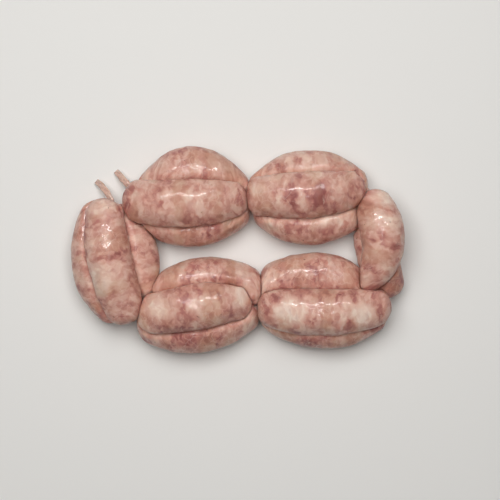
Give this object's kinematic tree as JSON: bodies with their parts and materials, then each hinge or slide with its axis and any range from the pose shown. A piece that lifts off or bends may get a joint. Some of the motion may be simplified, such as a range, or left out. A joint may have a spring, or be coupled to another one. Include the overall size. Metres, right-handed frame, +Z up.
{
  "type": "string of sausage links",
  "caption": "Ring of raw pork sausage links in plaited bunches, each with a crown link lying on curved side links, joined by short twists of casing.",
  "frame": {"origin": "centre of the ring of links, on the table they lie on", "axes": "+X along the longer side of the ring, +Y across it, +Z up from the table"},
  "size_m": [0.2014, 0.125, 0.0411],
  "materials": {
    "sausage": "moist translucent casing over coarse pink meat marbled with cream fat",
    "twisted_casing": "thin empty casing twisted into a cord, moist and slightly see-through"
  },
  "bodies": {
    "root": {"three_1_crown_link": "sausage", "three_1_inner_link": "sausage", "three_1_outer_link": "sausage", "three_2_crown_link": "sausage", "three_2_inner_link": "sausage", "three_2_outer_link": "sausage", "three_3_crown_link": "sausage", "three_3_inner_link": "sausage", "three_3_outer_link": "sausage", "three_4_crown_link": "sausage", "three_4_inner_link": "sausage", "three_4_outer_link": "sausage", "three_5_crown_link": "sausage", "three_5_inner_link": "sausage", "three_5_outer_link": "sausage", "pair_crown_link": "sausage", "pair_outer_link": "sausage", "casing_twist_1": "twisted_casing", "casing_twist_2": "twisted_casing", "casing_twist_3": "twisted_casing", "casing_twist_4": "twisted_casing", "casing_twist_5": "twisted_casing", "casing_tail_1": "twisted_casing", "casing_tail_2": "twisted_casing"}
  },
  "joints": []
}
